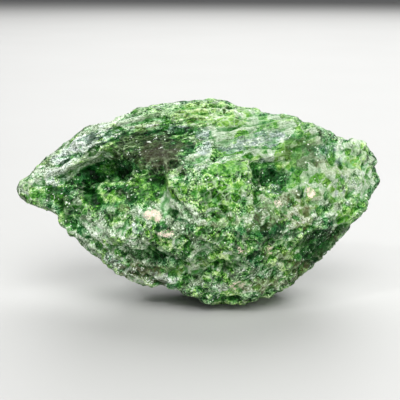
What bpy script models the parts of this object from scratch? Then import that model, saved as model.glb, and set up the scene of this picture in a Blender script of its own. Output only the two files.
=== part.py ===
"""A rough chrome diopside specimen: one broken stone, 91 mm long, that rests on a small flat spot.

The stone is shaped in a face frame, in millimetres: u runs along the stone to the right, v runs up
across the shown face, and w comes out of that face. The finished shape is then leaned back, cut flat
where it rests, and given in metres with +Z up, the shown face towards -Y, and the origin in the
resting spot.
"""

import math

import bmesh
import bpy
import numpy as np
from mathutils import Matrix, Vector, noise

NODE = "chrome_diopside"
MM = 0.001

# Driving dimensions, in millimetres and degrees
STONE_HALF = (46.0, 26.0, 23.0)
FACE_LEAN = 14.0
FRONT_DEPTH = 25.0
BACK_DEPTH = 25.0
DOME_POWER = 0.72
BLUNT_SPREAD = 20.0
SHARP_RIM = (0.7, 0.97)
RELIEF_STARTS_BY = 7.0
REST_SPOT = (4.0, 0.5)
SOLE_DEPTH = 24.4
FLOOR_BLOCK = (200.0, 20.0)
BALL_DIVISIONS = 7
TRIANGLES = 9300

# The outline of the shown face, clockwise from the left tip, as (u, v)
OUTLINE = (
    (-46.0, 3.0), (-45.0, 5.0), (-42.5, 6.0), (-41.0, 7.3), (-36.7, 11.2), (-33.5, 14.6),
    (-31.0, 17.0), (-27.5, 18.6), (-21.5, 19.4), (-17.0, 21.2), (-12.5, 23.8), (-3.5, 25.2),
    (5.5, 25.2), (10.0, 23.8), (13.5, 23.5), (15.5, 21.8), (19.0, 21.3), (23.0, 20.3),
    (27.0, 19.4), (31.0, 17.6), (34.0, 15.8), (39.6, 14.3), (41.9, 12.6), (42.8, 10.3),
    (44.6, 7.4), (45.2, 4.5), (43.9, 2.0), (41.5, -1.0), (40.0, -4.0), (36.7, -7.3),
    (32.6, -12.1), (28.5, -16.2), (26.5, -19.1), (22.5, -21.5), (19.0, -23.0), (14.5, -24.0),
    (11.5, -25.4), (8.0, -25.8), (3.5, -25.4), (0.0, -25.2), (-1.7, -23.8), (-6.5, -22.4),
    (-9.0, -21.0), (-14.5, -20.8), (-18.5, -18.8), (-21.5, -17.6), (-25.5, -14.6), (-29.0, -11.8),
    (-32.6, -8.8), (-35.3, -6.0), (-35.8, -4.0), (-39.0, -2.0), (-42.5, -1.4), (-45.0, 0.6),
)

# Broken faces that the stone ends at, as (u, v, w, rise along u, rise along v)
FRONT_FACES = {
    "belly": (2.0, -2.0, 20.0, 0.03, 0.0),
    "upper": (0.0, 6.0, 19.0, 0.08, -0.62),
    "crown": (0.0, 20.0, 10.2, 0.0, -1.9),
    "lower": (5.0, -11.0, 20.0, 0.0, 0.78),
    "left": (-12.0, 4.0, 17.0, 0.38, 0.0),
    "right": (20.0, 4.0, 17.5, -0.48, -0.1),
    "lower_left": (-14.0, -9.0, 15.5, 0.3, 0.6),
    "lower_right": (24.0, -7.0, 15.5, -0.62, 0.7),
}
BACK_FACES = {
    "middle": (4.0, 0.0, 20.5, 0.06, 0.05),
    "upper": (6.0, 10.0, 17.5, 0.1, -0.8),
    "left": (-14.0, 0.0, 18.0, 0.42, 0.15),
    "right": (24.0, 2.0, 17.0, -0.55, 0.1),
    "lower": (0.0, -14.0, 19.0, 0.05, 0.55),
    "lower_left": (-18.0, -10.0, 14.0, 0.3, 0.75),
}

# Flat breaks that trim the ends and the far edges, as (a point on the break, the way it faces)
BREAKS = {
    "right_front": ((44.6, 5.0, 0.5), (0.8, 0.1, 0.58)),
    "right_back": ((45.0, 4.0, -3.0), (0.7, -0.15, -0.68)),
    "right_under": ((33.5, -12.5, -3.0), (0.6, -0.55, -0.58)),
    "right_top": ((28.0, 19.5, -4.0), (0.3, 0.7, -0.62)),
    "left_back": ((-44.0, 3.0, -1.0), (-0.6, 0.2, -0.78)),
    "left_under": ((-26.0, -14.5, -3.0), (-0.5, -0.55, -0.67)),
    "left_top": ((-34.0, 14.5, -3.0), (-0.45, 0.6, -0.66)),
}

# Hollows and pits, as (u, v, half length, half width, turn in degrees, depth)
FRONT_HOLLOWS = {
    "dark_hollow": (-23.0, 7.2, 9.5, 4.6, 14.0, 6.0),
    "brown_face": (-10.5, 14.6, 13.0, 5.0, 8.0, 2.2),
    "middle_recess": (17.5, 6.4, 7.0, 4.2, 4.0, 4.4),
    "middle_pit": (-7.3, -2.8, 2.2, 1.6, 20.0, 1.7),
    "lower_pit": (17.0, -10.7, 4.4, 2.2, 22.0, 2.2),
    "left_pit": (-26.5, 3.2, 3.2, 1.7, -35.0, 2.2),
    "lower_slot": (-13.0, -13.0, 7.5, 2.0, -10.0, 2.0),
    "upper_dish": (24.0, 11.0, 8.0, 4.5, -18.0, 1.4),
    "right_notch": (31.6, 11.0, 2.2, 5.5, -8.0, 1.0),
    "right_undercut": (31.0, -9.5, 9.0, 3.4, 42.0, 2.6),
    "lower_dish": (3.0, -17.0, 7.0, 3.0, 10.0, 1.5),
}
BACK_HOLLOWS = {
    "back_scoop": (-8.0, 6.0, 14.0, 8.0, 20.0, 3.2),
    "back_dish": (20.0, -4.0, 10.0, 7.0, -25.0, 2.6),
    "back_pit": (6.0, -10.0, 5.0, 3.0, 10.0, 1.8),
    "back_notch": (32.0, 8.0, 5.0, 3.0, 60.0, 1.6),
}

# Ledges, as (start, end, drop, width): the side to the right of start to end stands lower
FRONT_LEDGES = {
    "left_rim_tip": ((-42.0, 3.5), (-34.0, 7.5), 1.2, 5.0),
    "left_rim": ((-35.0, 6.0), (-22.0, 12.6), 3.0, 6.0),
    "crest": ((-24.0, 16.8), (-8.0, 20.6), 1.3, 5.0),
    "crest_right": ((-9.0, 20.4), (6.0, 18.6), 0.9, 4.0),
    "block_left": ((-8.6, 9.0), (-7.2, -1.0), 2.6, 7.0),
    "block_top": ((13.0, 10.6), (-7.0, 7.6), 2.0, 5.0),
    "block_right": ((12.4, 0.5), (11.6, 10.6), 2.8, 7.0),
    "underside_right": ((44.0, 0.5), (34.0, -5.6), 1.6, 5.0),
    "underside_middle": ((35.0, -5.5), (15.0, -8.6), 1.4, 5.0),
    "lump_edge": ((33.4, 8.0), (33.8, 15.5), 1.2, 4.0),
    "foot_left": ((-8.0, -17.5), (-20.0, -15.4), 1.4, 5.0),
    "foot_right": ((1.0, -22.0), (-9.0, -18.6), 1.0, 4.0),
}
BACK_LEDGES = {
    "back_shelf": ((-24.0, 2.0), (2.0, 9.0), 2.0, 7.0),
    "back_edge": ((10.0, 16.0), (30.0, 6.0), 1.6, 6.0),
    "back_step": ((12.0, -2.0), (-12.0, -8.0), 1.8, 6.0),
}
OVAL_LIP = (1.25, 0.25)
LEDGE_SHARPNESS = 0.35
LEDGE_END = 2.0

# Broken chips: flat facets that each stand a little differently, as (length, height, tilt, step)
LAYERED_CHIPS = ((22.0, 6.5, 1.0, 0.5), (9.0, 2.8, 0.5, 0.3))
GRAINY_CHIPS = ((7.5, 6.5, 1.0, 0.35), (3.2, 3.0, 0.55, 0.25))
CHIP_EDGE = 0.14
TILT_PICK = 57.0
STEP_PICK = 91.0
LAYER_TURN = 11.0
LAYERS_ABOVE = (1.0, 7.0)
RIM_HALF_WIDTH = 5.0
RIM_CALM = 0.45
LUMP_SIZE = 15.0
LUMP_HEIGHT = 0.9

# Smoother patches, as (u, v, half length, half width, turn in degrees, share of the chipping lost)
CALM_PATCHES = (
    (-10.5, 14.6, 15.0, 5.5, 8.0, 0.7),
    (27.0, 10.0, 9.0, 6.0, -18.0, 0.45),
    (6.5, 8.0, 6.0, 2.4, 8.0, 0.8),
    (-25.0, 12.0, 12.0, 3.5, 32.0, 0.5),
)


def smooth_step(low, high, value):
    """0 below low, 1 above high and an even S between them."""
    share = np.clip((value - low) / (high - low), 0.0, 1.0)
    return share * share * (3.0 - 2.0 * share)


def outline_radius(angle):
    """How far the outline lies from the middle of the face in each direction."""
    corners = np.array(OUTLINE)
    corner_angle = np.arctan2(corners[:, 1], corners[:, 0])
    corner_radius = np.hypot(corners[:, 0], corners[:, 1])
    return np.interp(angle, corner_angle, corner_radius, period=2.0 * math.pi)


def blunt_radius(angle):
    """The outline's radius with its corners averaged away, for the middle of the faces."""
    spread = np.radians(np.linspace(-BLUNT_SPREAD, BLUNT_SPREAD, 11))
    return np.mean([outline_radius(angle + turn) for turn in spread], axis=0)


def turned(u, v, degrees):
    """The same place measured along and across a direction that rises to the right."""
    cosine, sine = math.cos(math.radians(degrees)), math.sin(math.radians(degrees))
    return u * cosine + v * sine, v * cosine - u * sine


def oval_value(u, v, oval):
    """The value of one oval patch at each point: all of it inside, none outside, and a steep lip."""
    centre_u, centre_v, half_length, half_width, turn, value = oval
    along, across = turned(u - centre_u, v - centre_v, turn)
    return value * smooth_step(*OVAL_LIP, np.hypot(along / half_length, across / half_width))


def ledge_drop(u, v, ledge):
    """How far the low side of one ledge is cut away at each point, most of all at its foot."""
    start, end, drop, width = ledge
    run_u, run_v = end[0] - start[0], end[1] - start[1]
    length = math.hypot(run_u, run_v)
    run_u, run_v = run_u / length, run_v / length
    along = (u - start[0]) * run_u + (v - start[1]) * run_v
    beyond = (u - start[0]) * run_v - (v - start[1]) * run_u
    ends = smooth_step(-LEDGE_END, LEDGE_END, along) * smooth_step(-LEDGE_END, LEDGE_END, length - along)
    foot = smooth_step(-LEDGE_SHARPNESS, LEDGE_SHARPNESS, beyond)
    return drop * ends * foot * np.exp(-((np.maximum(beyond, 0.0) / width) ** 2))


def side_depth(u, v, dome, faces, hollows, ledges):
    """The depth of one side: the dome, cut by broken faces, then by its hollows and ledges."""
    depth = dome
    for at_u, at_v, at_depth, rise_u, rise_v in faces.values():
        depth = np.minimum(depth, at_depth + rise_u * (u - at_u) + rise_v * (v - at_v))
    away_from_rim = smooth_step(0.0, RELIEF_STARTS_BY, depth)
    for hollow in hollows.values():
        depth = depth - oval_value(u, v, hollow) * away_from_rim
    for ledge in ledges.values():
        depth = depth - ledge_drop(u, v, ledge) * away_from_rim
    return depth


def body_points(directions):
    """Each direction's point on the stone before chipping, in the face frame."""
    along, up, out = directions.T
    ring = np.hypot(along, up)
    angle = np.arctan2(up, along)
    blunt, sharp = blunt_radius(angle), outline_radius(angle)
    reach = ring * (blunt + (sharp - blunt) * smooth_step(*SHARP_RIM, ring))
    u, v = reach * np.cos(angle), reach * np.sin(angle)
    swell = np.abs(out) ** DOME_POWER
    front = side_depth(u, v, FRONT_DEPTH * swell, FRONT_FACES, FRONT_HOLLOWS, FRONT_LEDGES)
    back = side_depth(u, v, BACK_DEPTH * swell, BACK_FACES, BACK_HOLLOWS, BACK_LEDGES)
    points = np.stack([u, v, np.where(out >= 0.0, front, -back)], axis=1)
    for point, way in BREAKS.values():
        way = np.array(way) / np.linalg.norm(way)
        beyond = np.maximum((points - point) @ way, 0.0)
        points -= beyond[:, None] * way
    return points


def facet_height(place, centre, tilt, step):
    """The height at a place of the tilted flat facet around a centre."""
    turn = noise.cell_vector(centre * TILT_PICK) * 2.0 - Vector((1.0, 1.0, 1.0))
    lift = noise.cell(centre * STEP_PICK) * 2.0 - 1.0
    return tilt * turn.dot(place - centre) + step * lift


def chip_height(place, tilt, step):
    """The height of the chip that a place lies on, with a short slope to the next chip."""
    distances, centres = noise.voronoi(place)
    own = facet_height(place, centres[0], tilt, step)
    beside = facet_height(place, centres[1], tilt, step)
    inside = min((distances[1] - distances[0]) / CHIP_EDGE, 1.0)
    return own + (beside - own) * 0.5 * (1.0 - inside)


def chips_height(point, chips):
    """The height of all the sizes of chip of one kind at a point."""
    along, across = turned(point.x, point.y, LAYER_TURN)
    total = 0.0
    for length, height, tilt, step in chips:
        total += chip_height(Vector((along / length, across / height, point.z / height)), tilt, step)
    return total


def chip(stone):
    """Moves every vertex outwards by the lumps and chips at its place."""
    for vertex in stone.verts:
        point = vertex.co
        layered = smooth_step(*LAYERS_ABOVE, point.y)
        height = layered * chips_height(point, LAYERED_CHIPS)
        height += (1.0 - layered) * chips_height(point, GRAINY_CHIPS)
        if point.z > 0.0:
            for patch in CALM_PATCHES:
                height *= 1.0 - oval_value(point.x, point.y, patch)
        height += LUMP_HEIGHT * noise.fractal(point / LUMP_SIZE, 1.0, 2.0, 3)
        height *= RIM_CALM + (1.0 - RIM_CALM) * smooth_step(0.0, RIM_HALF_WIDTH, abs(point.z))
        outward = Vector([way / half**2 for way, half in zip(point, STONE_HALF)]).normalized()
        vertex.co = point + outward * height


def shape_stone():
    """The whole stone in metres, leaned back as it rests, before its sole is cut."""
    stone = bmesh.new()
    bmesh.ops.create_icosphere(stone, subdivisions=BALL_DIVISIONS, radius=1.0)
    directions = np.array([(v.co.x, v.co.z, -v.co.y) for v in stone.verts])
    for vertex, place in zip(stone.verts, body_points(directions)):
        vertex.co = place
    bmesh.ops.recalc_face_normals(stone, faces=stone.faces)
    chip(stone)
    # The face frame's u, v and w become X, Z and -Y, leaned back about X
    upright = Matrix.Rotation(math.radians(90.0 - FACE_LEAN), 4, "X")
    place = Matrix.Translation((-REST_SPOT[0], -REST_SPOT[1], SOLE_DEPTH))
    bmesh.ops.transform(stone, matrix=Matrix.Scale(MM, 4) @ place @ upright, verts=stone.verts)
    return stone


def floor_cutter():
    """The block that cuts the stone flat where it rests."""
    across, thick = FLOOR_BLOCK
    bpy.ops.mesh.primitive_cube_add(size=1.0, location=(0.0, 0.0, -thick / 2.0 * MM))
    cutter = bpy.context.object
    cutter.name = "floor_cutter"
    cutter.scale = Vector((across, across, thick)) * MM
    cutter.hide_render = True
    cutter.display_type = "WIRE"
    return cutter


def stone_material():
    """Chrome-green diopside with a broken, glassy surface."""
    material = bpy.data.materials.new(NODE)
    material.use_nodes = True
    surface = material.node_tree.nodes["Principled BSDF"]
    surface.inputs["Base Color"].default_value = (0.1, 0.26, 0.07, 1.0)
    surface.inputs["Roughness"].default_value = 0.35
    surface.inputs["Metallic"].default_value = 0.0
    return material


def main():
    for old in list(bpy.data.objects):
        bpy.data.objects.remove(old)
    stone = shape_stone()
    mesh = bpy.data.meshes.new(NODE)
    shaped = len(stone.faces)
    stone.to_mesh(mesh)
    stone.free()
    mesh.materials.append(stone_material())
    specimen = bpy.data.objects.new(NODE, mesh)
    bpy.context.collection.objects.link(specimen)
    # Few faces where the stone is flat, and many at its edges
    thin = specimen.modifiers.new("fewer_faces", "DECIMATE")
    thin.ratio = TRIANGLES / shaped
    sole = specimen.modifiers.new("resting_spot", "BOOLEAN")
    sole.operation = "DIFFERENCE"
    sole.object = floor_cutter()


main()
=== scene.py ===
# %% [markdown]
# # A rough chrome diopside
#
# The real object is one broken lump of rock, about 91 mm long. Most of it is diopside, a green crystal that
# chromium colours, and it breaks in three ways. It splits along flat glassy faces, it steps down in thin
# shelves, and where the crystals are small it crumbles into sugary grain. Paler and pinkish minerals have
# grown between the green ones. This lesson takes the plain solid that the CAD step packed, gives it the
# broken skin of a real stone, and then paints the minerals with shader nodes.

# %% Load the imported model
import math

import bmesh
import bpy
import numpy as np
from mathutils import Matrix, Vector, noise


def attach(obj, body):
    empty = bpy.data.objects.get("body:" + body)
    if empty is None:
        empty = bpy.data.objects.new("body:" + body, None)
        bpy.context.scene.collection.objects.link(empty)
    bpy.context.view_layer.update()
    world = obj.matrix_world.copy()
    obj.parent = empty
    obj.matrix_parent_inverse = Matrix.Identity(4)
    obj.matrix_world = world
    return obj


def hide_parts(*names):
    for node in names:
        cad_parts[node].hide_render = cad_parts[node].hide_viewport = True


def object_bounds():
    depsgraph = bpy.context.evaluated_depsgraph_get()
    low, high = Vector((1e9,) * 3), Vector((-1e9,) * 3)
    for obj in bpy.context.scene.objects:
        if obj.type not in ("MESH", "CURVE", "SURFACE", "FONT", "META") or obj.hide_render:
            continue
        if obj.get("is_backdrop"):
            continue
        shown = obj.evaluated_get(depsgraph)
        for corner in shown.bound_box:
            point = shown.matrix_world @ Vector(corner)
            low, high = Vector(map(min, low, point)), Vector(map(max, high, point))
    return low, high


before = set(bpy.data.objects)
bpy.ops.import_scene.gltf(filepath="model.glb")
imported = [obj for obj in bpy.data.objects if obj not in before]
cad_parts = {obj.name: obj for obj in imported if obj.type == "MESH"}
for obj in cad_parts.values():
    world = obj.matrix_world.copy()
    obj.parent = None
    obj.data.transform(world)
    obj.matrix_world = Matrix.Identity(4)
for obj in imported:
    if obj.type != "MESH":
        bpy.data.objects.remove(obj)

cad_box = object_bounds()
print("CAD box, m:", [[round(float(side), 4) for side in corner] for corner in cad_box])

# %% [markdown]
# ## Directions on the stone
#
# A rock has no straight edges to measure from, so its marks are placed in a frame of its own. u runs along
# the stone to the right, v runs up across the shown face, and w comes out of that face. The stone leans
# back by 14 degrees, so this frame is leaned back too. All its numbers are millimetres, which are easier to
# judge on a stone of this size than metres are. The crystals' layers climb to the right across that face,
# so they get a second frame, turned by 11 degrees more.

# %% The stone's own frame
MM = 1000.0
FACE_LEAN = 14.0
FACE_MIDDLE = np.array([-4.0, -0.5, 24.4])
LAYER_TURN = 11.0

face_axes = Matrix.Rotation(math.radians(90.0 - FACE_LEAN), 3, "X")
layer_axes = face_axes @ Matrix.Rotation(math.radians(LAYER_TURN), 3, "Z")


def on_axes(place, axes):
    """Places in the model's millimetres, measured from the middle of the face along other axes."""
    return (place - FACE_MIDDLE) @ np.array(axes)


print("Up across the face is", [round(part, 3) for part in face_axes.col[1]])

# %% [markdown]
# ## Camera
#
# The photograph looks a little down on the stone, by the same 14 degrees. A long 85 mm lens keeps the near
# side from swelling. The camera stands where a width of 100 mm at the stone fills the frame.

# %% Camera
LENS = 85.0
SENSOR = 36.0
VIEW_WIDTH = 0.1
NEAREST_SEEN = 0.01

aim = Vector(FACE_MIDDLE) / MM
distance = VIEW_WIDTH * LENS / SENSOR
lean = math.radians(FACE_LEAN)
eye = aim + Vector((0.0, -math.cos(lean), math.sin(lean))) * distance
bpy.ops.object.camera_add(location=eye, rotation=(math.pi / 2.0 - lean, 0.0, 0.0))
camera = bpy.context.object
camera.name = "camera"
camera.data.lens = LENS
camera.data.sensor_width = SENSOR
camera.data.clip_start = NEAREST_SEEN
bpy.context.scene.camera = camera
print("Camera distance, m:", round(distance, 4))

# %% [markdown]
# ## Shader helpers
#
# Every material here is a net of nodes. A few short helpers keep the net readable. One makes the empty
# material and one puts in a node and fills its sockets. The others are the things a net like this does most:
# to calculate, to take the highest of several values, to move a value towards a target or to lessen it,
# to spread it over a new range, to blend two colours and to run through a row of them.


# %% Shader helpers
def new_material(name):
    """An empty material, the net that holds it and its Principled surface."""
    material = bpy.data.materials.new(name)
    material.use_nodes = True
    return material, material.node_tree, material.node_tree.nodes["Principled BSDF"]


def put(net, kind, sockets=(), **settings):
    """Adds a node. Each socket gets a number, a colour or the output of another node."""
    node = net.nodes.new("ShaderNode" + kind)
    for name, value in settings.items():
        setattr(node, name, value)
    for name, value in dict(sockets).items():
        if isinstance(value, bpy.types.NodeSocket):
            net.links.new(value, node.inputs[name])
        else:
            node.inputs[name].default_value = value
    return node


def calc(net, operation, first, second=0.0, clamp=False):
    """One step of arithmetic."""
    return put(net, "Math", {0: first, 1: second}, operation=operation, use_clamp=clamp).outputs[0]


def highest(net, first, *others):
    """The highest of several values."""
    for other in others:
        first = calc(net, "MAXIMUM", first, other)
    return first


def move_to(net, value, share, target):
    """A value moved some share of the way to a target."""
    gap = calc(net, "SUBTRACT", target, value)
    return calc(net, "ADD", value, calc(net, "MULTIPLY", gap, share))


def lessen(net, value, where, share):
    """A value that loses this share of itself where another value is 1."""
    kept = calc(net, "SUBTRACT", 1.0, calc(net, "MULTIPLY", where, share))
    return calc(net, "MULTIPLY", value, kept)


def spread(net, value, low, high, to_low=0.0, to_high=1.0):
    """A value between low and high, stretched to a new range and kept inside it."""
    sockets = {0: value, 1: low, 2: high, 3: to_low, 4: to_high}
    return put(net, "MapRange", sockets).outputs[0]


def blend(net, share, below, above, way="MIX"):
    """One colour over another."""
    sockets = {0: share, 6: below, 7: above}
    return put(net, "Mix", sockets, data_type="RGBA", blend_type=way).outputs[2]


def ramp(net, value, stops):
    """Colours that run into each other along a value, as (position, colour) stops."""
    node = put(net, "ValToRGB", {0: value})
    band = node.color_ramp
    while len(band.elements) < len(stops):
        band.elements.new(1.0)
    for element, (position, colour) in zip(band.elements, stops):
        element.position = position
        element.color = (*colour, 1.0)
    return node.outputs[0]


# %% [markdown]
# ## Floor and light
#
# The stone lies on a plain pale floor, which is wide enough to fill the picture from every side. The light
# falls mostly from above, which makes the upper ledges pale and leaves the hollows and the underside dark.
# A big soft light hangs behind and above the stone, and a key light above it and a little in front. A wide
# low light from the front right opens the shadows. A small hard one from the upper left wakes glints on the
# flat faces, because glints need a light that is small.

# %% Floor
FLOOR_SIZE = 12.0
FLOOR_DARKER = (0.42, 0.42, 0.41, 1.0)
FLOOR_PALER = (0.45, 0.45, 0.44, 1.0)
FLOOR_MOTTLE = {"Scale": 9.0, "Detail": 4.0}
FLOOR_ROUGHNESS = 0.6

bpy.ops.mesh.primitive_plane_add(size=FLOOR_SIZE)
floor = bpy.context.object
floor.name = "floor"
floor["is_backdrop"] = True
floor_material, net, surface = new_material("pale_floor")
where = put(net, "TexCoord").outputs["Object"]
mottle = put(net, "TexNoise", {"Vector": where, **FLOOR_MOTTLE}).outputs["Fac"]
net.links.new(blend(net, mottle, FLOOR_DARKER, FLOOR_PALER), surface.inputs["Base Color"])
surface.inputs["Roughness"].default_value = FLOOR_ROUGHNESS
floor.data.materials.append(floor_material)
print("Floor, m:", [round(side, 2) for side in floor.dimensions])

# %% Lights
# Each light's place from the stone in metres, its watts and its width in metres
LIGHTS = {
    "back_light": ((0.16, 1.02, 0.95), 25.0, 1.35),
    "key_light": ((0.13, -0.75, 1.19), 21.5, 1.05),
    "front_light": ((0.6, -1.58, 0.55), 19.0, 1.8),
    "glint_light": ((-0.74, -0.6, 0.89), 3.2, 0.09),
}
ROOM_COLOUR = (0.95, 0.97, 1.0, 1.0)
ROOM_GLOW = 0.14

for name, (away, watts, across) in LIGHTS.items():
    away = Vector(away)
    turn = (-away).to_track_quat("-Z", "Y").to_euler()
    bpy.ops.object.light_add(type="AREA", location=aim + away, rotation=turn)
    light = bpy.context.object
    light.name = name
    light.visible_camera = False
    light.data.energy = watts
    light.data.size = across

room = bpy.data.worlds.new("room")
room.use_nodes = True
ambient = room.node_tree.nodes["Background"]
ambient.inputs["Color"].default_value = ROOM_COLOUR
ambient.inputs["Strength"].default_value = ROOM_GLOW
bpy.context.scene.world = room
bpy.context.scene.view_settings.view_transform = "Standard"

# %% [markdown]
# ## A finer skin for the stone
#
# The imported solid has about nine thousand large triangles. They give the stone its outline, its hollows and
# its ledges, but a broken rock also has relief down to a fraction of a millimetre. So the solid's mesh is
# copied and its loose triangles are merged. A voxel remesh then wraps the copy in small even faces, which
# can be pushed in and out without tearing.

# %% Copy and remesh
VOXEL = 0.00043
MERGE = 1e-6

cad_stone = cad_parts["chrome_diopside"]
stone = bpy.data.objects.new("broken_stone", cad_stone.data.copy())
bpy.context.collection.objects.link(stone)
bpy.ops.object.select_all(action="DESELECT")
stone.select_set(True)
bpy.context.view_layer.objects.active = stone

bpy.ops.object.mode_set(mode="EDIT")
bpy.ops.mesh.select_all(action="SELECT")
bpy.ops.mesh.remove_doubles(threshold=MERGE)
bpy.ops.object.mode_set(mode="OBJECT")

even_skin = stone.modifiers.new("even_skin", "REMESH")
even_skin.mode = "VOXEL"
even_skin.voxel_size = VOXEL
bpy.ops.object.modifier_apply(modifier=even_skin.name)
stone.data.materials.clear()
mesh = stone.data
print("Faces in the even skin:", len(mesh.polygons))

# %% [markdown]
# A voxel remesh can leave a tiny closed box floating beside a thin place. It would be a speck of its own in
# the finished model, so only the largest connected skin is kept.


# %% Take loose crumbs away
def connected(corners):
    """Groups of vertices that hang together by edges, the smallest group first."""
    unseen = set(corners)
    groups = []
    while unseen:
        front = [unseen.pop()]
        group = list(front)
        while front:
            corner = front.pop()
            for edge in corner.link_edges:
                other = edge.other_vert(corner)
                if other in unseen:
                    unseen.discard(other)
                    front.append(other)
                    group.append(other)
        groups.append(group)
    return sorted(groups, key=len)


wrapped = bmesh.new()
wrapped.from_mesh(mesh)
*loose_crumbs, main_skin = connected(wrapped.verts)
for crumb in loose_crumbs:
    bmesh.ops.delete(wrapped, geom=crumb, context="VERTS")
wrapped.to_mesh(mesh)
wrapped.free()
print("Loose crumbs taken away:", len(loose_crumbs), "and vertices kept:", len(main_skin))


# %% Read the skin
def read(items, name, width):
    """One property of every vertex, edge or face, as rows of numbers."""
    whole_numbers = name == "vertices"
    rows = np.empty(len(items) * width, np.int32 if whole_numbers else np.float32)
    items.foreach_get(name, rows)
    rows = rows.reshape(-1, width)
    return rows if whole_numbers else rows.astype(float)


place = read(mesh.vertices, "co", 3) * MM
edges = read(mesh.edges, "vertices", 2)
neighbours = np.bincount(edges.ravel(), minlength=len(place))


def relax(values, rounds):
    """Averages each vertex's values with its neighbours', over and over."""
    for _ in range(rounds):
        total = values.copy()
        for side in range(values.shape[1]):
            total[:, side] += np.bincount(edges[:, 0], values[edges[:, 1], side], len(values))
            total[:, side] += np.bincount(edges[:, 1], values[edges[:, 0], side], len(values))
        values = total / (neighbours + 1)[:, None]
    return values


print("Each vertex has", round(float(neighbours.mean()), 2), "neighbours on average")
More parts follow.
